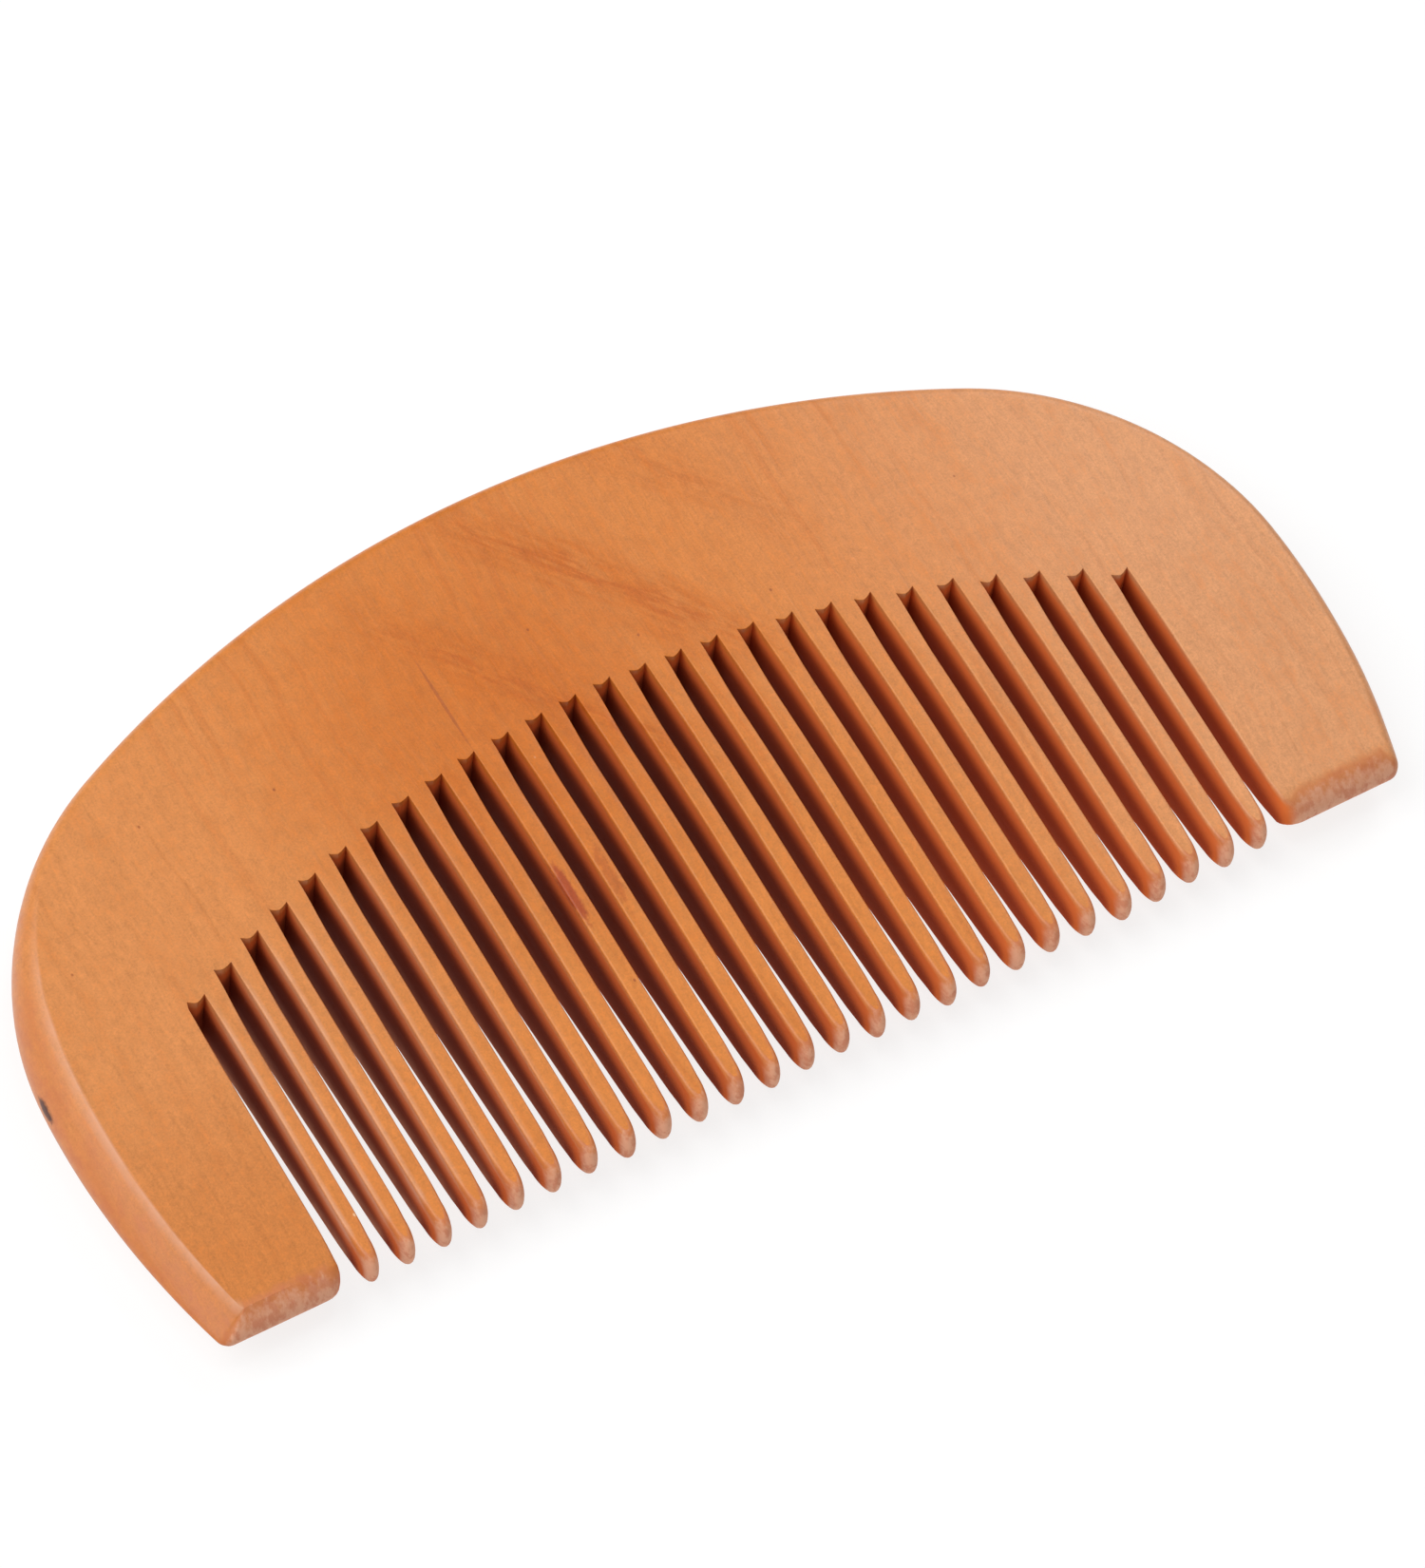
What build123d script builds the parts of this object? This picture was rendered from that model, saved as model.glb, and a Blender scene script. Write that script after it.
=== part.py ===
from build123d import *
import os
from math import radians, sqrt, tan

# Half-moon beard comb, sawn and sanded from one board of wood. Millimetres.
# It lies flat on its lower face: X runs along the length, Y from the tooth tips to the back,
# and Z up out of the upper face. The origin is under the middle of the comb's box.

# Outline, drawn from the straight line of the tooth tips (y = 0) to the top of the back.
HEIGHT = 65.0  # tooth tips to the top of the back
BACK_RADIUS = 105.0  # long arc of the back
BACK_ANGLE = 26.0  # half of that arc's sweep
SHOULDER_RADIUS = 32.5  # tighter arc at each shoulder
SHOULDER_ANGLE = 60.0
SIDE_RADIUS = 79.0  # gentle arc that narrows each end towards the tips
END_CORNER = 1.5  # outer corner of each end guard

# Thickness: parallel faces along the back, then both faces taper towards the tips.
THICKNESS = 8.0
FLAT_FROM = 34.0  # height above the tips where the parallel faces begin
BLEND_RADIUS = 179.0  # large arc between the parallel and the tapered faces
TAPER_ANGLE = 4.25  # slope of each tapered face
RIM_RADIUS = 1.3  # sanded edge all round, which also makes the tips round

# Teeth: parallel saw cuts between two wide end guards.
SLOT_COUNT = 27
PITCH = 3.7
SLOT_WIDTH = 2.05
ROOT_HEIGHT = 41.4  # root of the middle slot above the tips
ROOT_RADIUS = 105.0  # the roots follow an arc
ROOT_NOTCH = 0.4  # the saw leaves each root deeper in its corners than in its middle
TIP_LENGTH = 3.0  # each tooth narrows over this length
TIP_INSET = 0.45  # by this much on each side
GUARD_TIP_LENGTH = 3.6  # inner corner of each end guard
GUARD_TIP_INSET = 1.3
SAW_OVERRUN = 2.0  # the cuts start this far outside the tips

# Planes through the tip line at half the thickness: one for the outline and one for the
# section across the comb.
tip_line = (0, -HEIGHT / 2, THICKNESS / 2)
plan = Plane(origin=tip_line, x_dir=(1, 0, 0), z_dir=(0, 0, 1))
section = Plane(origin=tip_line, x_dir=(0, 1, 0), z_dir=(1, 0, 0))


def root_height(x):
    """Height of a slot's root above the tip line, on the arc of the roots."""
    return ROOT_HEIGHT - (ROOT_RADIUS - sqrt(ROOT_RADIUS**2 - x**2))


def slot_outline(x, left_tip, right_tip):
    """One saw cut at x, open below the tip line. Each tip is (length, inset) of the wood beside it."""
    left, right = x - SLOT_WIDTH / 2, x + SLOT_WIDTH / 2
    root = root_height(x)
    left_mouth = (left - left_tip[1], 0)
    right_mouth = (right + right_tip[1], 0)
    Polyline((left, left_tip[0]), (left, root), (x, root - ROOT_NOTCH), (right, root), (right, right_tip[0]))
    TangentArc((right, right_tip[0]), right_mouth, tangent=(0, -1))
    TangentArc((left, left_tip[0]), left_mouth, tangent=(0, -1))
    Polyline(
        right_mouth,
        (right_mouth[0], -SAW_OVERRUN),
        (left_mouth[0], -SAW_OVERRUN),
        left_mouth,
    )


with BuildPart() as comb:
    # Flat blank with the half-moon outline
    with BuildSketch(plan) as outline:
        with BuildLine():
            back = JernArc((0, HEIGHT), (1, 0), BACK_RADIUS, -BACK_ANGLE)
            shoulder = JernArc(back @ 1, back % 1, SHOULDER_RADIUS, -SHOULDER_ANGLE)
            side = JernArc(shoulder @ 1, shoulder % 1, SIDE_RADIUS, Axis.X)
            Line(side @ 1, (0, 0))
            mirror(about=Plane.YZ)
        make_face()
        fillet(outline.vertices().group_by(Axis.Y)[0], END_CORNER)
    extrude(amount=THICKNESS / 2, both=True)

    # Both faces tapered towards the tips
    with BuildSketch(section):
        with BuildLine():
            flat = Line((HEIGHT, THICKNESS / 2), (FLAT_FROM, THICKNESS / 2))
            blend = JernArc(flat @ 1, (-1, 0), BLEND_RADIUS, TAPER_ANGLE)
            tip_half_thickness = (blend @ 1).Y - (blend @ 1).X * tan(radians(TAPER_ANGLE))
            Polyline(blend @ 1, (0, tip_half_thickness), (0, 0))
            Line((HEIGHT, THICKNESS / 2), (HEIGHT, 0))
            mirror(about=Plane.XZ)
        make_face()
    extrude(amount=BACK_RADIUS, both=True, mode=Mode.INTERSECT)

    # Rim rounded on both faces. The seams within each face run along X, above the tip line.
    along_x = comb.edges().filter_by(Axis.X)
    seams = along_x - along_x.group_by(Axis.Y)[0]
    rim = comb.edges() - seams - comb.edges().filter_by(Axis.Z)
    fillet(rim, RIM_RADIUS)

    # Saw cuts between the teeth
    tooth_tip = (TIP_LENGTH, TIP_INSET)
    guard_tip = (GUARD_TIP_LENGTH, GUARD_TIP_INSET)
    with BuildSketch(plan):
        for index in range(SLOT_COUNT):
            slot_x = (index - (SLOT_COUNT - 1) / 2) * PITCH
            left_tip = guard_tip if index == 0 else tooth_tip
            right_tip = guard_tip if index == SLOT_COUNT - 1 else tooth_tip
            with BuildLine():
                slot_outline(slot_x, left_tip, right_tip)
            make_face()
    extrude(amount=THICKNESS, both=True, mode=Mode.SUBTRACT)

comb.part.label = "comb"

os.makedirs("parts", exist_ok=True)
export_step(comb.part, "parts/comb.step")
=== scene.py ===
from math import acos, atan2, cos, degrees, pi, radians, sin, sqrt, tan
from random import Random

import bpy
from mathutils import Matrix, Vector


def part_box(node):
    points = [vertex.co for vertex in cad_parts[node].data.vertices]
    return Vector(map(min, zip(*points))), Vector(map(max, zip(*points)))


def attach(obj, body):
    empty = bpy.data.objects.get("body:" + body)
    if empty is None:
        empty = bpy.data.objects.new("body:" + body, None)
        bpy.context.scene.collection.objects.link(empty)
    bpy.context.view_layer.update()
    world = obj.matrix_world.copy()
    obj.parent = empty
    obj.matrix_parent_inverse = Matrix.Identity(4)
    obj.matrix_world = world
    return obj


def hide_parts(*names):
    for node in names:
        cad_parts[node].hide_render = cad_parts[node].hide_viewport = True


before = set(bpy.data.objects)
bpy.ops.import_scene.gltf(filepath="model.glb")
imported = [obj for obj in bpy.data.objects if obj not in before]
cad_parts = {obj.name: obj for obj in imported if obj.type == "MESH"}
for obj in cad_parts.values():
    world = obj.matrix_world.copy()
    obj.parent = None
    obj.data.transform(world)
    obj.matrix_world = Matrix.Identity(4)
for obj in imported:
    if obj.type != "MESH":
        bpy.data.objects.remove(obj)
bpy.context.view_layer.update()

# A half-moon beard comb cut from one board of stained, waxed wood, lying flat.
# The comb is drawn in millimetres: x along its length, y above the straight line of the tooth
# tips, z from the middle of its thickness. to_frame() carries that to the frame, in metres.

MM = 0.001
low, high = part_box("comb")
HEIGHT = (high.y - low.y) / MM
THICKNESS = (high.z - low.z) / MM

# Outline: tangent arcs, from the middle of the back down to the tip line.
BACK_RADIUS = 105.0
BACK_ANGLE = 26.0
SHOULDER_RADIUS = 32.5
SHOULDER_ANGLE = 60.0
SIDE_RADIUS = 79.0
END_CORNER = 1.2

# Thickness across the comb.
FLAT_FROM = 34.0
BLEND_RADIUS = 179.0
TAPER_ANGLE = 4.25

# Teeth and saw cuts.
SLOT_COUNT = 27
PITCH = 3.7
SLOT_WIDTH = 2.05
SLOT_DRIFT = 0.15  # the cuts wander to and fro along the comb by this much
DRIFT_SLOTS = 15.5  # once in this many cuts
DRIFT_PEAK = 10.3  # furthest to the right at this cut, counted from 0 at the left
DRIFT_LEAN = 0.5  # around a middle that lies this share of it to the left
DRIFT_HOLD = 6  # power that keeps the outermost cuts in place
NARROWING = {-1: 0.25, 1: 0.05}  # of the left and right wall of a cut, close to its root
NARROWING_RUN = 8.0
ROOT_HEIGHT = 41.4
ROOT_RADIUS = 105.0
ROOT_NOTCH = 0.4  # the saw leaves each root this much deeper in its corners
NOTCH_POWER = 1.5
ROOT_UNEVEN = 0.12  # the roots' heights and notches differ by this much either way
GUARD_CORNER = 1.8
TIP_LENGTH = 2.9
TIP_END_WIDTH = 0.6
TIP_POWER = 0.8  # below 1, the tips are blunter than an ellipse
TIP_ROUND_BY = 60.0  # turn, out of 90 degrees, at which a tip is fully rounded
TOOTH_UNEVEN = 0.4  # hand sanding leaves the teeth shorter by up to this much
EVEN_TEETH = 6  # and by less to the left of this tooth
RIGHT_LIFT = 1.1  # the right guard is sanded this much shorter than the left one
LIFT_RUN = 15.0
RIGHT_TOOTH_LIFT = 0.6  # the last teeth are shorter by this much
LIFT_FROM_TOOTH = 20
LIFT_TEETH = 5

# Sanded edges: how far each edge is eased across the face.
BACK_EASE = 1.4
RIGHT_EASE = 1.3
LEFT_EASE = 3.0
SIDE_NORMAL = 40.0  # where the back's edge starts to turn into a side's, by the outline's normal
SIDE_TURN = 45.0
GUARD_END_EASE = 1.75
MITRE_SPREAD = 0.3  # a side's last points on the face spread over this width
TOOTH_EASE = 0.28
TOOTH_LOW_EASE = 0.6  # where a tooth's long edges run into its tip
TOOTH_TIP_EASE = 1.2
ROOT_EASE = 0.06
EASE_RUN_IN = 5.0  # the teeth's long edges stay sharp this close to the roots
ROUND_FROM = 6.5  # the teeth turn rounder below this height
FULL = 0.96  # share of the half thickness that a fully rounded edge takes up
SOFT_CREASE = 8.0  # angle at which the eased rim meets the face
LEFT_CREASE = 33.0
END_CREASE = 24.0
STEEPEST = 0.9  # a crease never takes the edge lower than this share of its depth

# How worn an edge is, from 0 for waxed wood to 1 for raw wood.
BACK_WEAR = 0.35
LEFT_WEAR = 0.6
TOOTH_WEAR = 0.15
LOW_TOOTH_WEAR = 0.5  # added near the tips, over the run below
LOW_WEAR_RUN = 9.0
TIP_WEAR = 0.6  # where a tip or a guard's corner begins
EASED_FADE = 0.5  # how much less worn an eased edge is where it meets the face
RAW_FADE = 0.3  # and a raw one
RAW_FROM = 0.7
RAW_RUN = 0.3

# Painted highlights, where the light from the left catches the left rim and the long edges of the
# teeth, fading to the right.
TEETH_LEFT = -50.0  # x where the cuts begin
HIGHLIGHT_INSET = 0.72  # the left rim carries the painted highlight from this share of its easing to the face
HIGHLIGHT_FADE = 0.2
TOOTH_HIGHLIGHT = 0.75
HIGHLIGHT_RUN = 40.0
HIGHLIGHT_DEPTH = 2.6  # how far down the walls of the teeth the painted highlight reaches

# The sawn walls darken from this far below the faces, more gradually on the left: partly stain
# soaked into the cut, partly painted shade.
SAWN_DEPTH = 0.6
LEFT_SAWN_DEPTH = 2.0
SAWN_RUN = 45.0
SHADE_FROM = 0.8  # and painted shade darkens them further from here down to the lower edge
SHADE_RUN = 3.0
LOWER_EASE = 0.35

# Mesh density.
EDGE_STEPS = 7
WALL_STEPS = 6
STRIP_STEPS = 20
TOOTH_ROWS = 26
TIP_ROWS = 9
TOOTH_COLUMNS = 4
ROOT_COLUMNS = 6
GUARD_ROWS = 30
GUARDS_TO = 68.0  # the guards' rows end this far along the outline from the top of the back
CORNER_STEPS = 6
ROW_POWER = 1.1  # above 1, the rows crowd towards the roots
END_ROWS = 14  # this many rows next to a guard's end follow its shape, less and less
EDGE_GAP = 0.02  # share of the strip's width between its edge and the first point inside
SHARP_ANGLE = 27  # edges that bend more than this stay sharp

MIDDLE = (SLOT_COUNT - 1) / 2


def to_frame(x, y, z):
    return (x * MM, low.y + y * MM, (low.z + high.z) / 2 + z * MM)


# ---------------------------------------------------------------- shape of the board

def polar(centre, radius, angle):
    """Point at a distance from a centre, in the direction angle degrees clockwise from +y."""
    return (centre[0] + radius * sin(radians(angle)), centre[1] + radius * cos(radians(angle)))


back_centre = (0.0, HEIGHT - BACK_RADIUS)
shoulder_centre = polar(back_centre, BACK_RADIUS - SHOULDER_RADIUS, BACK_ANGLE)
side_from = BACK_ANGLE + SHOULDER_ANGLE
side_centre = polar(shoulder_centre, SHOULDER_RADIUS - SIDE_RADIUS, side_from)
corner_drop = END_CORNER - side_centre[1]
corner_reach = sqrt((SIDE_RADIUS - END_CORNER) ** 2 - corner_drop**2)
corner_centre = (side_centre[0] + corner_reach, END_CORNER)
corner_from = degrees(atan2(corner_reach, corner_drop))
ARCS = (
    (BACK_ANGLE, back_centre, BACK_RADIUS),
    (side_from, shoulder_centre, SHOULDER_RADIUS),
    (corner_from, side_centre, SIDE_RADIUS),
    (180.0, corner_centre, END_CORNER),
)

back_run = radians(BACK_ANGLE) * BACK_RADIUS
shoulder_run = radians(SHOULDER_ANGLE) * SHOULDER_RADIUS


def normal_at(run):
    """Normal of the outline's point that is run millimetres along it from the top of the back."""
    if run < back_run:
        return degrees(run / BACK_RADIUS)
    if run < back_run + shoulder_run:
        return BACK_ANGLE + degrees((run - back_run) / SHOULDER_RADIUS)
    return side_from + degrees((run - back_run - shoulder_run) / SIDE_RADIUS)


def outline(angle):
    """Point of the right half of the outline where its outward normal is angle degrees from +y."""
    for end, centre, radius in ARCS:
        if angle <= end:
            return polar(centre, radius, angle)


def half_thickness(y):
    if y >= FLAT_FROM:
        return THICKNESS / 2
    blend_from = FLAT_FROM - BLEND_RADIUS * sin(radians(TAPER_ANGLE))
    drop_to = max(y, blend_from)
    blend = THICKNESS / 2 - BLEND_RADIUS + sqrt(BLEND_RADIUS**2 - (FLAT_FROM - drop_to) ** 2)
    return blend - (drop_to - y) * tan(radians(TAPER_ANGLE))


def root_height(x):
    return ROOT_HEIGHT - ROOT_RADIUS + sqrt(ROOT_RADIUS**2 - x**2)


def blend(a, b, share):
    return a + (b - a) * share


def smooth(share):
    share = max(0.0, min(1.0, share))
    return share * share * (3 - 2 * share)


# ---------------------------------------------------------------- edge of the board
# Each point of the edge has the wall's place, the place on the face where the easing starts, how
# deep the easing goes down the wall, and the crease: the angle at which it meets the face.

class Edge:
    def __init__(self, wall, face, depth, crease, wear, sawn, painted_highlight=0.0):
        self.wall = wall
        self.face = face
        self.depth = depth
        self.crease = crease
        self.wear = wear
        self.sawn = sawn
        self.painted_highlight = painted_highlight

    def mirrored(self):
        wall = (-self.wall[0], self.wall[1])
        face = (-self.face[0], self.face[1])
        return Edge(wall, face, self.depth, self.crease, self.wear, self.sawn, self.painted_highlight)


def mitre(left):
    """Where a side's easing meets its guard end's: the normal there and the place on the face."""
    radius = SIDE_RADIUS - (LEFT_EASE if left else RIGHT_EASE)
    angle = degrees(acos((GUARD_END_EASE - side_centre[1]) / radius))
    return angle, polar(side_centre, radius, angle)


def rim_edge(angle, left=False):
    """Edge of the outline where its outward normal is angle degrees from +y."""
    wall = outline(angle)
    mitre_angle, corner = mitre(left)
    past = (angle - mitre_angle) / (180.0 - mitre_angle)
    at_side = smooth((angle - SIDE_NORMAL) / SIDE_TURN)
    at_end = smooth(past)
    ease = blend(BACK_EASE, LEFT_EASE if left else RIGHT_EASE, at_side)
    face = polar(wall, -ease, angle)
    if past > 0:
        face = (corner[0] - MITRE_SPREAD * past, corner[1])
    side_crease = blend(SOFT_CREASE, LEFT_CREASE if left else SOFT_CREASE, at_side)
    crease = blend(side_crease, END_CREASE, at_end)
    depth = FULL * half_thickness(wall[1])
    side_wear = blend(BACK_WEAR, LEFT_WEAR if left else BACK_WEAR, at_side)
    wear = blend(side_wear, 1.0, at_end)
    # The left rim's side carries a painted highlight.
    painted_highlight = at_side * (1 - at_end) if left else 0.0
    edge = Edge(wall, face, depth, crease, wear, 0.0, painted_highlight)
    return edge.mirrored() if left else edge


def guard_end_edge(share, left):
    """Edge of a guard's end on the tip line, from the outer corner to the inner one."""
    inner_x = MIDDLE * PITCH + SLOT_WIDTH / 2 + GUARD_CORNER
    wall_x = blend(corner_centre[0], inner_x, share)
    face_x = blend(mitre(left)[1][0] - MITRE_SPREAD, inner_x, share)
    depth = FULL * half_thickness(0.0)
    edge = Edge((wall_x, 0.0), (face_x, GUARD_END_EASE), depth, END_CREASE, 1.0, 0.0)
    return edge.mirrored() if left else edge


def guard_corner_edge(angle):
    """Inner corner of the right guard, from 180 degrees on its end to 270 on its wall."""
    wall_x = MIDDLE * PITCH + SLOT_WIDTH / 2
    wall = polar((wall_x + GUARD_CORNER, GUARD_CORNER), GUARD_CORNER, angle)
    turn = (angle - 180.0) / 90.0
    turned = smooth(turn)
    reach = blend(GUARD_CORNER, tooth_edge_reach(GUARD_CORNER), turn)
    face = (wall_x + reach, blend(GUARD_END_EASE, GUARD_CORNER, turn))
    depth = blend(FULL * half_thickness(wall[1]), tooth_edge_depth(wall[1]), turned)
    crease = blend(END_CREASE, 0.0, turned)
    return Edge(wall, face, depth, crease, blend(1.0, TIP_WEAR, turned), turned)


def tooth_edge_depth(y):
    """Long edges of the teeth are lightly eased along their length and fully round at the tip."""
    return blend(TOOTH_EASE, FULL * half_thickness(y), smooth(1 - y / ROUND_FROM) ** 2)


def tooth_edge_reach(y):
    """How far that easing runs across the face."""
    return blend(TOOTH_EASE, TOOTH_LOW_EASE, smooth(1 - y / ROUND_FROM) ** 1.5)


def tooth_wall_edge(x, y, root, side):
    """Straight wall of a tooth or guard at x. side is the direction into the wood, 1 or -1."""
    wear = TOOTH_WEAR + LOW_TOOTH_WEAR * smooth(1 - y / LOW_WEAR_RUN)
    eased = blend(ROOT_EASE / TOOTH_EASE, 1.0, smooth((root - y) / EASE_RUN_IN))
    x -= side * NARROWING[side] * (1 - smooth((root - y) / NARROWING_RUN))
    face = (x + side * eased * tooth_edge_reach(y), y)
    depth = eased * tooth_edge_depth(y)
    # A painted highlight on the walls that face left, fading to the right.
    painted_highlight = 0.0
    if side > 0:
        painted_highlight = TOOTH_HIGHLIGHT * eased * (1 - smooth((x - TEETH_LEFT) / HIGHLIGHT_RUN))
    return Edge((x, y), face, depth, 0.0, wear, 1.0, painted_highlight)


def tooth_tip_edge(middle_x, half_width, end_y, side, turn):
    """Bullet-shaped tip: turn runs from 0 where the taper starts to 90 at the end of the tooth."""
    start = end_y + TIP_LENGTH
    across = cos(radians(turn)) ** TIP_POWER
    along = sin(radians(turn)) ** TIP_POWER
    wall = (middle_x + side * half_width * across, start - TIP_LENGTH * along)
    face = (
        middle_x + side * (half_width - tooth_edge_reach(start)) * across,
        start - (TIP_LENGTH - TOOTH_TIP_EASE) * along,
    )
    at_end = smooth(turn / TIP_ROUND_BY)
    depth = blend(tooth_edge_depth(start), FULL * half_thickness(wall[1]), at_end)
    return Edge(wall, face, depth, 0.0, blend(TIP_WEAR, 1.0, at_end), 1 - at_end)


# ---------------------------------------------------------------- runs of edge points

# The saw wanders a little from slot to slot, and hand sanding leaves the teeth a little uneven.
chance = Random(7)
root_shift = [chance.uniform(-ROOT_UNEVEN, ROOT_UNEVEN) for _ in range(SLOT_COUNT)]
notch_shift = [chance.uniform(-ROOT_UNEVEN, ROOT_UNEVEN) for _ in range(SLOT_COUNT)]
tooth_end_y = [
    chance.uniform(0.0, TOOTH_UNEVEN) * smooth(tooth / EVEN_TEETH)
    + RIGHT_TOOTH_LIFT * smooth((tooth - LIFT_FROM_TOOTH) / LIFT_TEETH)
    for tooth in range(SLOT_COUNT - 1)
]


def slot_middle(index):
    middle = (index - MIDDLE) * PITCH
    inside = 1 - (abs(index - MIDDLE) / MIDDLE) ** DRIFT_HOLD
    wander = cos(2 * pi * (index - DRIFT_PEAK) / DRIFT_SLOTS) - DRIFT_LEAN
    return middle + SLOT_DRIFT * inside * wander


def tooth_middle(index):
    return (slot_middle(index) + slot_middle(index + 1)) / 2


def tooth_half_width(index):
    return (slot_middle(index + 1) - slot_middle(index) - SLOT_WIDTH) / 2


def slot_root(index):
    return root_height(slot_middle(index)) + root_shift[index]


def wall_heights(root, rows, bottom):
    """Heights down a wall, closer together near the root, root first."""
    return [blend(root, bottom, (row / rows) ** ROW_POWER) for row in range(rows + 1)]


def root_edges(index):
    """The saw's root between two teeth: deeper in both corners than in the middle."""
    x = slot_middle(index)
    root = slot_root(index)
    notch = ROOT_NOTCH + notch_shift[index]
    edges = []
    for column in range(ROOT_COLUMNS + 1):
        across = 2 * column / ROOT_COLUMNS - 1
        half_width = SLOT_WIDTH / 2 - NARROWING[-1 if across < 0 else 1]
        wall = (x + across * half_width, root - notch * (1 - abs(across) ** NOTCH_POWER))
        face = (wall[0] + across * ROOT_EASE, wall[1] + ROOT_EASE)
        edges.append(Edge(wall, face, ROOT_EASE, 0.0, 0.0, 1.0))
    return edges


def tooth_side(index, side):
    """One long side of tooth index, from the root to the end of its tip. side -1 is the left."""
    middle_x = tooth_middle(index)
    half_width = tooth_half_width(index)
    root = slot_root(index if side < 0 else index + 1)
    end_y = tooth_end_y[index]
    wall_x = middle_x + side * half_width
    heights = wall_heights(root, TOOTH_ROWS, end_y + TIP_LENGTH)[1:-1]
    edges = [tooth_wall_edge(wall_x, y, root, -side) for y in heights]
    last = 90.0 - degrees(acos(1 - TIP_END_WIDTH / 2)) / 2
    edges += [
        tooth_tip_edge(middle_x, half_width, end_y, side, last * step / TIP_ROWS)
        for step in range(TIP_ROWS + 1)
    ]
    return edges


def tooth_end(index, left, right):
    """Points across the end of a tooth, between the last points of its two sides."""
    middle_x = tooth_middle(index)
    tip = tooth_tip_edge(middle_x, tooth_half_width(index), tooth_end_y[index], 1, 90.0)
    edges = []
    for column in range(1, TOOTH_COLUMNS):
        across = 2 * column / TOOTH_COLUMNS - 1
        drop = 1 - across**2
        reach = right.wall[0] - middle_x
        face_reach = right.face[0] - middle_x
        wall = (middle_x + across * reach, blend(right.wall[1], tip.wall[1], drop))
        face = (middle_x + across * face_reach, blend(right.face[1], tip.face[1], drop))
        edges.append(Edge(wall, face, FULL * half_thickness(wall[1]), 0.0, 1.0, 0.0))
    return edges


# ---------------------------------------------------------------- mesh

class Board:
    """Vertices and faces of the comb, with each vertex's wear, its darkening in the saw cuts (stain
    and painted shade) and its painted highlight.
    """

    def __init__(self):
        self.points = []
        self.wear = []
        self.sawn = []
        self.painted_highlight = []
        self.faces = []

    def add(self, x, y, z, wear=0.0, sawn=0.0, painted_highlight=0.0):
        self.points.append((x, y, z))
        self.wear.append(wear)
        self.sawn.append(sawn)
        self.painted_highlight.append(painted_highlight)
        return len(self.points) - 1

    def placed(self):
        """The vertices in the frame, with the right guard sanded shorter."""
        inner_x = MIDDLE * PITCH
        placed = []
        for x, y, z in self.points:
            lift = RIGHT_LIFT * (1 - smooth(y / LIFT_RUN)) if x > inner_x else 0.0
            placed.append(to_frame(x, y + lift, z))
        return placed

    def rings(self, edge):
        """One vertex for each level from the upper face's border to the lower face's border."""
        levels = []
        reach = sqrt((edge.wall[0] - edge.face[0]) ** 2 + (edge.wall[1] - edge.face[1]) ** 2)
        knee = min(reach * tan(radians(edge.crease)), STEEPEST * edge.depth)
        fade = blend(EASED_FADE, RAW_FADE, smooth((edge.wear - RAW_FROM) / RAW_RUN))
        for step in range(EDGE_STEPS + 1):
            turn = step / EDGE_STEPS
            inset = (1 - turn) ** 2
            drop = 2 * turn * (1 - turn) * knee + turn**2 * edge.depth
            x = blend(edge.wall[0], edge.face[0], inset)
            y = blend(edge.wall[1], edge.face[1], inset)
            levels.append((x, y, half_thickness(y) - drop, edge.wear * (1 - fade * inset), inset))
        for step in range(1, WALL_STEPS):
            x, y, z, wear, inset = levels[EDGE_STEPS]
            levels.append((x, y, z * (1 - 2 * step / WALL_STEPS), wear, inset))
        for step in range(EDGE_STEPS, -1, -1):
            x, y, z, wear, inset = levels[step]
            levels.append((x, y, -z, wear, inset))
        from_left = smooth((edge.wall[0] - TEETH_LEFT) / SAWN_RUN)
        darkened_from = blend(LEFT_SAWN_DEPTH, SAWN_DEPTH, from_left)
        ring = []
        for x, y, z, wear, inset in levels:
            below, above = half_thickness(y) - z, half_thickness(y) + z
            # Painted highlight: near the face on the left rim, and down the top of the teeth's
            # walls.
            on_rim = smooth((inset - HIGHLIGHT_INSET) / HIGHLIGHT_FADE)
            on_tooth = smooth(1 - below / HIGHLIGHT_DEPTH) + smooth(1 - above / HIGHLIGHT_DEPTH)
            painted_highlight = edge.painted_highlight * blend(on_rim, on_tooth, edge.sawn)
            # Darkening down the saw cuts: stain near the top, painted shade deeper down.
            stain_and_shade = (smooth(below / darkened_from) + smooth((below - SHADE_FROM) / SHADE_RUN)) / 2
            sawn = edge.sawn * stain_and_shade * smooth(above / LOWER_EASE)
            ring.append(self.add(x, y, z, wear, sawn, painted_highlight))
        return ring

    def face_pair(self, x, y):
        """A vertex on the upper face and its twin on the lower face."""
        z = half_thickness(y)
        return self.add(x, y, z), self.add(x, y, -z)

    def face_pairs(self, start, end):
        """The pairs that divide the way across a tooth, without its two ends."""
        shares = [column / TOOTH_COLUMNS for column in range(1, TOOTH_COLUMNS)]
        return [
            self.face_pair(blend(start[0], end[0], share), blend(start[1], end[1], share))
            for share in shares
        ]

    def grid(self, rows):
        """Faces over a grid of vertex pairs, upper and lower."""
        for near, far in zip(rows, rows[1:]):
            for (a, a_low), (b, b_low), (c, c_low), (d, d_low) in zip(near, near[1:], far[1:], far):
                self.faces.append((a, b, c, d))
                self.faces.append((d_low, c_low, b_low, a_low))


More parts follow.
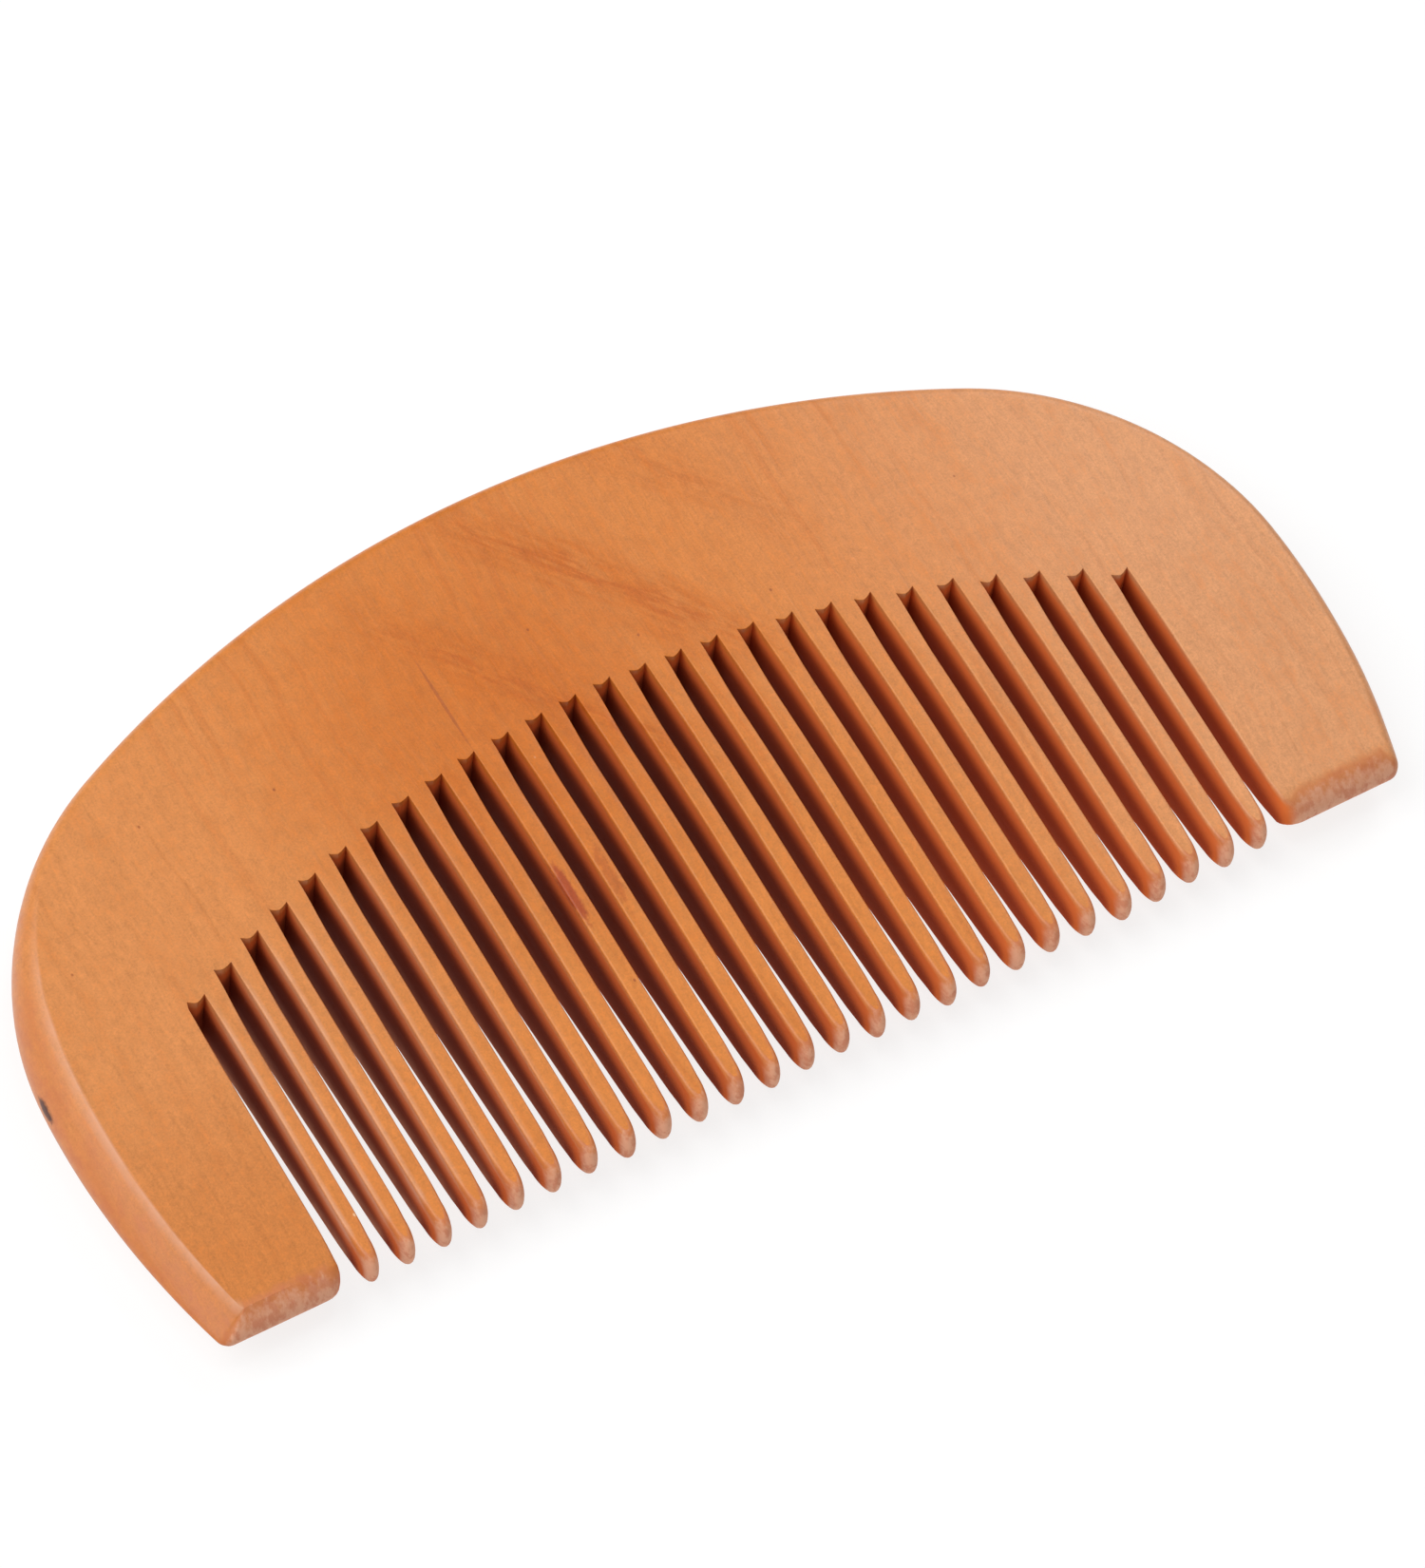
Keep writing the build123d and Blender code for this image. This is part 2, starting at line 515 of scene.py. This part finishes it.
def make_board():
    """The whole comb: a strip around the teeth, the teeth, and the edge all round."""
    board = Board()
    loop = []

    def lay(edges):
        made = [board.rings(edge) for edge in edges]
        loop.extend(made)
        return [(ring[0], ring[-1]) for ring in made]

    # Guards, written for x > 0; the left one is mirrored.
    shares = [step / CORNER_STEPS for step in range(CORNER_STEPS + 1)]
    straight = STRIP_STEPS - 2 * CORNER_STEPS
    guard_ends = []
    for left in (False, True):
        edges = [rim_edge(blend(mitre(left)[0], 180.0, share), left) for share in shares]
        edges += [guard_end_edge(step / straight, left) for step in range(1, straight)]
        inner_corner = [guard_corner_edge(blend(180.0, 270.0, share)) for share in shares]
        edges += [edge.mirrored() for edge in inner_corner] if left else inner_corner
        guard_ends.append(edges)
    right_guard_end, left_guard_end = guard_ends

    wall_x = MIDDLE * PITCH + SLOT_WIDTH / 2
    root = slot_root(SLOT_COUNT - 1)
    heights = wall_heights(root, GUARD_ROWS, GUARD_CORNER)[1:-1]
    guard_wall = [tooth_wall_edge(wall_x, y, root, 1) for y in heights]

    # Inner side of the strip that runs up one guard, along the roots and down the other.
    left_wall = [edge.mirrored() for edge in reversed(guard_wall)]
    inner = lay(left_wall)
    fingers = []
    for index in range(SLOT_COUNT):
        root_pairs = lay(root_edges(index))
        if index:
            fingers[-1]["right root"] = root_pairs[0]
        inner.extend(root_pairs)
        if index == SLOT_COUNT - 1:
            break
        left = tooth_side(index, -1)
        right = tooth_side(index, 1)
        left_pairs = lay(left)
        end_pairs = lay(tooth_end(index, left[-1], right[-1]))
        right_pairs = lay(reversed(right))[::-1]
        base = board.face_pairs(root_edges(index)[-1].face, root_edges(index + 1)[0].face)
        inner.extend(base)
        fingers.append(
            {
                "left root": root_pairs[-1],
                "base": base,
                "left": left_pairs,
                "right": right_pairs,
                "end": end_pairs,
                "sides": (left, right),
            }
        )
    inner.extend(lay(guard_wall))

    # Right end, outer side and left end of the strip.
    right_end = lay(reversed(right_guard_end))
    outer_angles = strip_outer_angles(len(inner))
    outer_edges = [rim_edge(abs(angle), left=angle < 0) for angle in outer_angles]
    outer = lay(reversed(outer_edges[1:-1]))[::-1]
    left_end = lay(left_guard_end)[::-1]
    inner = [left_end[0]] + inner + [right_end[0]]
    outer = [left_end[-1]] + outer + [right_end[-1]]

    fill_strip(board, inner, outer, left_end, right_end)
    for finger in fingers:
        fill_finger(board, finger)
    for here, there in zip(loop, loop[1:] + loop[:1]):
        for level in range(len(here) - 1):
            board.faces.append((here[level], here[level + 1], there[level + 1], there[level]))
    return board


def strip_outer_angles(inner_count):
    """Normals of the outline's points that face the strip's inner points, left end first."""
    root_points = inner_count - 2 * (GUARD_ROWS - 1)
    sides = []
    for left in (True, False):
        side_run = back_run + shoulder_run + radians(mitre(left)[0] - side_from) * SIDE_RADIUS
        runs = [blend(side_run, GUARDS_TO, step / GUARD_ROWS) for step in range(GUARD_ROWS)]
        sides.append([normal_at(run) for run in runs])
    across = [GUARDS_TO * (2 * step / (root_points - 1) - 1) for step in range(root_points)]
    left_side, right_side = sides
    angles = [-angle for angle in left_side]
    angles += [normal_at(run) if run > 0 else -normal_at(-run) for run in across]
    return angles + right_side[::-1]


def fill_strip(board, inner, outer, left_end, right_end):
    """Faces between the strip's two long sides."""

    def point(pair):
        return Vector(board.points[pair[0]][:2])

    inside = STRIP_STEPS - 2
    shares = [blend(EDGE_GAP, 1 - EDGE_GAP, step / inside) for step in range(inside + 1)]
    shares = [0.0, *shares, 1.0]
    last_row = len(inner) - 1
    rows = [left_end]
    for index in range(1, last_row):
        near, far = inner[index], outer[index]
        row = [near]
        for step in range(1, STRIP_STEPS):
            place = point(near).lerp(point(far), shares[step])
            for end, distance in ((left_end, index), (right_end, last_row - index)):
                weight = max(0.0, 1 - distance / END_ROWS) ** 2
                chord = point(end[0]).lerp(point(end[-1]), shares[step])
                place += weight * (point(end[step]) - chord)
            row.append(board.face_pair(*place))
        row.append(far)
        rows.append(row)
    rows.append(right_end)
    board.grid([row[::-1] for row in rows])


def fill_finger(board, finger):
    """Faces of one tooth, between its root and its tip."""
    rows = [[finger["left root"], *finger["base"], finger["right root"]]]
    left_edges, right_edges = finger["sides"]
    for step in range(len(left_edges) - 1):
        across = board.face_pairs(left_edges[step].face, right_edges[step].face)
        rows.append([finger["left"][step], *across, finger["right"][step]])
    rows.append([finger["left"][-1], *finger["end"], finger["right"][-1]])
    board.grid([row[::-1] for row in rows])


def add_object(name, data):
    made = bpy.data.objects.new(name, data)
    bpy.context.scene.collection.objects.link(made)
    return made


board = make_board()
mesh = bpy.data.meshes.new("comb_wood")
mesh.from_pydata(board.placed(), [], board.faces)
mesh.validate()
# Per-vertex wear, darkening in the saw cuts (stain and painted shade), and painted highlight.
for name, values in (("wear", board.wear), ("sawn", board.sawn), ("painted_highlight", board.painted_highlight)):
    mesh.attributes.new(name, "FLOAT", "POINT").data.foreach_set("value", values)
mesh.polygons.foreach_set("use_smooth", [True] * len(mesh.polygons))
mesh.set_sharp_from_angle(angle=radians(SHARP_ANGLE))
mesh.update()
comb = add_object("comb_body", mesh)
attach(comb, "root")
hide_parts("comb")

# ---------------------------------------------------------------- material
# Colours are linear.
DEEP_WOOD = (0.530, 0.136, 0.010, 1)
WOOD_COLOUR = (0.600, 0.195, 0.036, 1)
# Wood with painted sheen, paler at the left and palest at the right.
LEFT_SHEENED_WOOD = (0.610, 0.226, 0.062, 1)
RIGHT_SHEENED_WOOD = (0.645, 0.284, 0.118, 1)
LINE_COLOUR = (0.500, 0.128, 0.016, 1)
FLAME = (0.505, 0.118, 0.004, 1)
FLAME_CORE = (0.440, 0.090, 0.003, 1)
EASED_EDGE = (0.570, 0.188, 0.068, 1)
RAW_END = (0.690, 0.350, 0.220, 1)
RAW_BRUISE = (0.500, 0.140, 0.056, 1)
# Colour of the painted highlight.
HIGHLIGHT_COLOUR = (0.680, 0.340, 0.200, 1)
# Saw-cut colours: stain and painted shade, lighter on the right where the light from the left
# reaches the walls.
SAWN_STAIN_AND_SHADE = (0.560, 0.120, 0.028, 1)
DEEP_SAWN_SHADE = (0.240, 0.036, 0.011, 1)
RIGHT_SAWN_LIT = (0.660, 0.155, 0.036, 1)
RIGHT_DEEP_SAWN_LIT = (0.390, 0.062, 0.016, 1)
DARK_LINE = (0.270, 0.055, 0.015, 1)
RED_MARK = (0.350, 0.048, 0.008, 1)
CHAR = (0.060, 0.012, 0.006, 1)
PALE_FLECK = (0.820, 0.520, 0.300, 1)

# The flame figure's streaks, across their slant.
STREAK_WIDTH = 13.6
STREAK_FROM = 4.2


class Wood:
    """Node helpers. Every method returns an output socket."""

    def __init__(self, material):
        material.use_nodes = True
        self.tree = material.node_tree
        self.shader = self.tree.nodes["Principled BSDF"]

    def node(self, kind, **settings):
        made = self.tree.nodes.new(kind)
        for name, value in settings.items():
            setattr(made, name, value)
        return made

    def feed(self, socket, value):
        if isinstance(value, bpy.types.NodeSocket):
            self.tree.links.new(value, socket)
        else:
            socket.default_value = value

    def math(self, operation, first, second=0.0, third=0.0, clamp=False):
        made = self.node("ShaderNodeMath", operation=operation, use_clamp=clamp)
        for socket, value in zip(made.inputs, (first, second, third)):
            self.feed(socket, value)
        return made.outputs[0]

    def span(self, value, low, high, to_low=0.0, to_high=1.0):
        """Smoothly maps low..high to to_low..to_high, held at both ends."""
        made = self.node("ShaderNodeMapRange", interpolation_type="SMOOTHSTEP")
        for name, setting in (
            ("Value", value),
            ("From Min", low),
            ("From Max", high),
            ("To Min", to_low),
            ("To Max", to_high),
        ):
            self.feed(made.inputs[name], setting)
        return made.outputs["Result"]

    def stretch(self, vector, scale, location=(0, 0, 0)):
        made = self.node("ShaderNodeMapping")
        self.feed(made.inputs["Vector"], vector)
        made.inputs["Scale"].default_value = scale
        made.inputs["Location"].default_value = location
        return made.outputs["Vector"]

    def noise(self, vector, scale, detail, roughness, distortion=0.0):
        made = self.node("ShaderNodeTexNoise")
        self.feed(made.inputs["Vector"], vector)
        made.inputs["Scale"].default_value = scale
        made.inputs["Detail"].default_value = detail
        made.inputs["Roughness"].default_value = roughness
        made.inputs["Distortion"].default_value = distortion
        return made.outputs["Fac"]

    def grain(self, vector, scale, location, detail, roughness, distortion=0.0):
        """Noise with its own scale along each axis, in features per millimetre."""
        return self.noise(self.stretch(vector, scale, location), 1.0, detail, roughness, distortion)

    def mix(self, share, first, second):
        made = self.node("ShaderNodeMix", data_type="RGBA")
        colour_inputs = [socket for socket in made.inputs if socket.type == "RGBA"]
        for socket, value in zip([made.inputs["Factor"], *colour_inputs], (share, first, second)):
            self.feed(socket, value)
        return next(socket for socket in made.outputs if socket.type == "RGBA")

    def brighten(self, colour, factor):
        made = self.node("ShaderNodeVectorMath", operation="SCALE")
        self.feed(made.inputs[0], colour)
        self.feed(made.inputs["Scale"], factor)
        return made.outputs["Vector"]

    def combine(self, x, y=0.0):
        made = self.node("ShaderNodeCombineXYZ")
        for socket, value in zip(made.inputs, (x, y)):
            self.feed(socket, value)
        return made.outputs["Vector"]

    def distance(self, vector, centre):
        made = self.node("ShaderNodeVectorMath", operation="DISTANCE")
        self.feed(made.inputs[0], vector)
        made.inputs[1].default_value = centre
        return made.outputs["Value"]

    def attribute(self, name):
        return self.node("ShaderNodeAttribute", attribute_name=name).outputs["Fac"]


material = bpy.data.materials.new("waxed_wood")
wood = Wood(material)
coordinates = wood.node("ShaderNodeTexCoord").outputs["Object"]
place = wood.stretch(coordinates, (1 / MM, 1 / MM, 1 / MM), (0, HEIGHT / 2, -THICKNESS / 2))
split = wood.node("ShaderNodeSeparateXYZ")
wood.feed(split.inputs[0], place)
x, y = split.outputs[:2]


def times(*values):
    result = values[0]
    for value in values[1:]:
        result = wood.math("MULTIPLY", result, value)
    return result


def total(*values, clamp=False):
    result = values[0]
    for value in values[1:-1]:
        result = wood.math("ADD", result, value)
    return wood.math("ADD", result, values[-1], clamp=clamp)


def swing(value, amount):
    """A noise value as a swing either side of nothing."""
    return times(wood.math("SUBTRACT", value, 0.5), amount)


# Fibres and growth bands run from the back to the tooth tips, swaying a little.
sway = wood.combine(swing(wood.grain(place, (0.03, 0.05, 0.03), (4, 4, 4), 2.0, 0.5), 4.0))
add_sway = wood.node("ShaderNodeVectorMath", operation="ADD")
wood.feed(add_sway.inputs[0], place)
wood.feed(add_sway.inputs[1], sway)
swayed = add_sway.outputs["Vector"]
fibres = wood.grain(swayed, (2.6, 0.09, 0.9), (3, 5, 7), 4.0, 0.62)
bands = wood.grain(swayed, (0.42, 0.014, 0.2), (11, 2, 5), 3.0, 0.55, 0.4)
lines = wood.grain(swayed, (0.9, 0.022, 0.3), (8, 1, 2), 1.0, 0.5, 0.1)
mottle = wood.grain(place, (0.5, 0.35, 0.5), (1, 9, 4), 3.0, 0.6)
ripple = wood.grain(place, (1.7, 1.1, 1.4), (5, 2, 8), 3.0, 0.65)
grit = wood.noise(place, 4.5, 2.0, 0.7)

# The board is deepest in colour in the middle. Painted sheen makes it paler on the upper left and
# palest towards the right-hand end.
from_middle = wood.distance(wood.stretch(place, (1, 1, 0)), (-10.0, 42.0, 0.0))
deepness = total(
    wood.span(from_middle, 2.0, 31.0, 0.82, 0.0),
    swing(mottle, 0.8),
    swing(fibres, 0.55),
    swing(bands, 0.7),
    swing(ripple, 0.5),
    swing(grit, 0.3),
    clamp=True,
)
# Painted sheen on the upper left and towards the right-hand end.
left_painted_sheen = times(wood.span(x, -12.0, -52.0), wood.span(y, 4.0, 28.0))
right_painted_sheen = wood.span(x, 12.0, 58.0)
colour = wood.mix(left_painted_sheen, WOOD_COLOUR, LEFT_SHEENED_WOOD)
colour = wood.mix(right_painted_sheen, colour, RIGHT_SHEENED_WOOD)
colour = wood.mix(deepness, colour, DEEP_WOOD)
in_middle = wood.span(wood.math("ABSOLUTE", x), 25.0, 50.0, 0.30, 0.10)
colour = wood.mix(times(wood.span(lines, 0.58, 0.70), in_middle), colour, LINE_COLOUR)

# Flame figure: slanting darker streaks across the middle of the back.
slant = total(times(x, 0.8), times(y, 0.6))
along = wood.math("SUBTRACT", times(y, 0.8), times(x, 0.6))
brushed = wood.combine(slant, along)
warp = wood.grain(brushed, (0.25, 0.09, 1), (2, 6, 1), 4.0, 0.6)
slant = total(slant, swing(warp, 7.0))
wave = wood.math("SINE", times(wood.math("SUBTRACT", slant, STREAK_FROM), 2 * pi / STREAK_WIDTH))
streaks = wood.span(wave, -0.4, 1.0)
feather = wood.grain(brushed, (1.6, 0.22, 1), (7, 3, 1), 4.0, 0.6)
flame_reach = wood.distance(wood.stretch(place, (1, 1.1, 0)), (2.0, 53.0, 0.0))
flame_share = wood.span(flame_reach, 8.0, 27.0, 1.0, 0.0)
flame = times(streaks, flame_share, wood.span(feather, 0.34, 0.62, 0.25, 1.0))
colour = wood.mix(times(flame, 0.68), colour, FLAME)
cores = times(wood.span(wave, 0.90, 1.0), flame_share, wood.span(feather, 0.40, 0.60))
colour = wood.mix(times(cores, 0.5), colour, FLAME_CORE)


def spot(centre, radii, ragged):
    """1 inside an oval spot, falling to 0 outside it, with an uneven border."""
    scale = tuple(1 / radius for radius in radii)
    shifted = wood.stretch(place, scale, tuple(-a * b for a, b in zip(centre, scale)))
    length = wood.node("ShaderNodeVectorMath", operation="LENGTH")
    wood.feed(length.inputs[0], shifted)
    uneven = wood.math("ADD", length.outputs["Value"], swing(ripple, 2 * ragged))
    return wood.span(uneven, 1.15, 0.55)


# Marks on this board's face: centre, radii, raggedness, strength and colour.
MARKS = (
    ((-13.8, 46.0, THICKNESS / 2), (0.17, 5.6, 3.0), 0.25, 0.5, DARK_LINE),  # a mineral line
    ((-13.35, 24.0, 3.4), (0.6, 3.9, 1.2), 0.5, 0.9, RED_MARK),  # blemish on one tooth
    ((-9.3, 24.0, 3.4), (0.6, 4.0, 1.2), 0.9, 0.35, RED_MARK),  # and a fainter one beside it
    ((1.9, 32.0, 3.8), (0.7, 2.2, 1.2), 0.5, 0.5, FLAME),  # darker patches on two teeth
    ((-16.9, 36.0, 3.8), (0.5, 5.0, 1.2), 0.5, 0.35, FLAME),
)
for centre, radii, ragged, strength, mark_colour in MARKS:
    colour = wood.mix(times(spot(centre, radii, ragged), strength), colour, mark_colour)


def flecks(scale, size, rarity, seed):
    """Small dots scattered through the wood, in a share of the cells."""
    cells = wood.node("ShaderNodeTexVoronoi")
    wood.feed(cells.inputs["Vector"], wood.stretch(place, (1, 0.75, 1), seed))
    cells.inputs["Scale"].default_value = scale
    cell = wood.node("ShaderNodeSeparateColor")
    wood.feed(cell.inputs[0], cells.outputs["Color"])
    chosen = wood.math("GREATER_THAN", cell.outputs[0], rarity)
    return times(wood.span(cells.outputs["Distance"], size, size * 0.4), chosen)


colour = wood.mix(times(flecks(0.32, 0.055, 0.72, (3, 1, 4)), 0.7), colour, DARK_LINE)
colour = wood.mix(times(flecks(0.22, 0.045, 0.72, (9, 2, 6)), 0.8), colour, PALE_FLECK)

# The fine grain is uneven in tone. Towards the tips the teeth are a little paler, painted light
# where their tapered faces turn towards the front, and the left guard is a little darker.
low_brightness = total(wood.span(x, -50.0, -47.0, 0.94, 1.06), wood.span(x, 47.0, 50.0, 0.0, -0.05))
tone = total(
    wood.span(y, 24.0, 11.0, 1.0, low_brightness),
    swing(ripple, 0.46),
    swing(grit, 0.50),
    swing(fibres, 0.30),
)
colour = wood.brighten(colour, tone)

# Eased edges are paler and sanded ends are raw and bruised. The saw cuts darken with depth: stain
# soaked into the cut and painted shade, darker on the left where less light reaches.
wear = wood.attribute("wear")
sawn = wood.attribute("sawn")
eased = wood.span(total(wear, swing(mottle, 0.6)), 0.15, 0.75)
colour = wood.mix(times(eased, 0.75), colour, EASED_EDGE)
ends = wood.span(total(wear, swing(ripple, 0.7)), 0.66, 0.98)
colour = wood.mix(times(ends, 0.8), colour, RAW_END)
bruises = wood.span(wood.grain(place, (1.0, 0.6, 0.6), (0, 0, 0), 3.0, 0.7), 0.44, 0.62)
bruised = times(wood.math("MAXIMUM", ends, times(eased, 0.7)), bruises, 0.65)
colour = wood.mix(bruised, colour, RAW_BRUISE)
# Painted shade in the saw cuts, darkest deep down, lighter to the right where the light from the
# left reaches the walls.
cut = wood.span(sawn, 0.0, 0.5)
lit_towards_right = wood.span(x, 0.0, 24.0)
colour = wood.mix(cut, colour, wood.mix(lit_towards_right, SAWN_STAIN_AND_SHADE, RIGHT_SAWN_LIT))
deep_sawn_shade = wood.mix(lit_towards_right, DEEP_SAWN_SHADE, RIGHT_DEEP_SAWN_LIT)
colour = wood.mix(wood.span(sawn, 0.5, 1.0), colour, deep_sawn_shade)
# Painted highlight where the light from the left catches the left rim and the teeth's left edges.
painted_highlight = times(wood.attribute("painted_highlight"), wood.span(mottle, 0.35, 0.6, 0.6, 1.0))
colour = wood.mix(times(painted_highlight, 0.75), colour, HIGHLIGHT_COLOUR)
scorch = spot((-64.4, 27.4, 0.8), (1.2, 1.6, 0.6), 0.5)
colour = wood.mix(times(scorch, 0.95), colour, CHAR)

wood.feed(wood.shader.inputs["Base Color"], colour)
waxed = wood.span(fibres, 0.3, 0.7, 0.34, 0.44)
roughness = total(waxed, times(ends, 0.25), times(cut, 0.4), clamp=True)
wood.feed(wood.shader.inputs["Roughness"], roughness)
wood.feed(wood.shader.inputs["Specular IOR Level"], wood.span(cut, 0.1, 0.9, 0.34, 0.04))
bump = wood.node("ShaderNodeBump")
bump.inputs["Strength"].default_value = 0.35
bump.inputs["Distance"].default_value = 0.06 * MM
wood.feed(bump.inputs["Height"], total(fibres, times(grit, 0.5), times(swing(ripple, 2.5), ends)))
wood.feed(wood.shader.inputs["Normal"], bump.outputs["Normal"])
mesh.materials.append(material)

# ---------------------------------------------------------------- floor, light and camera
FLOOR_REACH = 2.0
FLOOR_GREY = 0.20
FLOOR_GLOW = 0.80  # it shines like a light table, so that it stays pale around the comb
WORLD_LIGHT = 0.18

# Name, place, target, size and power of each lamp.
SOFTBOXES = (
    ("left", (-0.56, 0.24, 0.72), (0, 0, 0), 0.88, 8.4),
    ("back_right", (0.70, 0.50, 0.75), (0, 0, 0), 0.60, 4.6),
    ("front", (-0.10, -0.90, 0.45), (0, 0, 0), 0.60, 2.0),
    ("overhead", (-0.015, 0.0, 0.4), (-0.015, 0, 0), 0.08, 0.15),
)

# The camera, as fitted to the cuts and the outline in the photograph.
LENS = 192.8
CAMERA_PLACE = (-0.24075, -0.311, 0.65079)
CAMERA_RIGHT = (0.8581, -0.50638, 0.08509)
CAMERA_UP = (0.39791, 0.76051, 0.51312)
CLIP_RANGE = (0.01, 10)

floor_mesh = bpy.data.meshes.new("floor")
floor_corners = ((-1, -1), (1, -1), (1, 1), (-1, 1))
floor_points = [(x * FLOOR_REACH, y * FLOOR_REACH, low.z) for x, y in floor_corners]
floor_mesh.from_pydata(floor_points, [], [(0, 1, 2, 3)])
floor = add_object("floor", floor_mesh)
paper = bpy.data.materials.new("light_table")
paper_look = {
    "Base Color": (FLOOR_GREY, FLOOR_GREY, FLOOR_GREY, 1),
    "Roughness": 0.9,
    "Specular IOR Level": 0.1,
    "Emission Color": (1, 1, 1, 1),
    "Emission Strength": FLOOR_GLOW,
}
paper.use_nodes = True
for name, value in paper_look.items():
    paper.node_tree.nodes["Principled BSDF"].inputs[name].default_value = value
floor_mesh.materials.append(paper)

world = bpy.data.worlds.new("studio")
world.use_nodes = True
background = world.node_tree.nodes["Background"]
background.inputs["Color"].default_value = (1, 1, 1, 1)
background.inputs["Strength"].default_value = WORLD_LIGHT
bpy.context.scene.world = world

for name, lamp_place, target, size, power in SOFTBOXES:
    light = bpy.data.lights.new(name, "AREA")
    light.size = size
    light.energy = power
    lamp = add_object(name, light)
    lamp.location = lamp_place
    lamp.rotation_mode = "QUATERNION"
    lamp.rotation_quaternion = (Vector(target) - Vector(lamp_place)).to_track_quat("-Z", "Y")

camera = bpy.data.cameras.new("camera")
camera.lens = LENS
camera.clip_start, camera.clip_end = CLIP_RANGE
camera_object = add_object("camera", camera)
right, up = Vector(CAMERA_RIGHT), Vector(CAMERA_UP)
turn = Matrix((right, up, right.cross(up))).transposed()
camera_object.rotation_mode = "QUATERNION"
camera_object.rotation_quaternion = turn.to_quaternion()
camera_object.location = CAMERA_PLACE
bpy.context.scene.camera = camera_object
bpy.context.scene.view_settings.view_transform = "Standard"
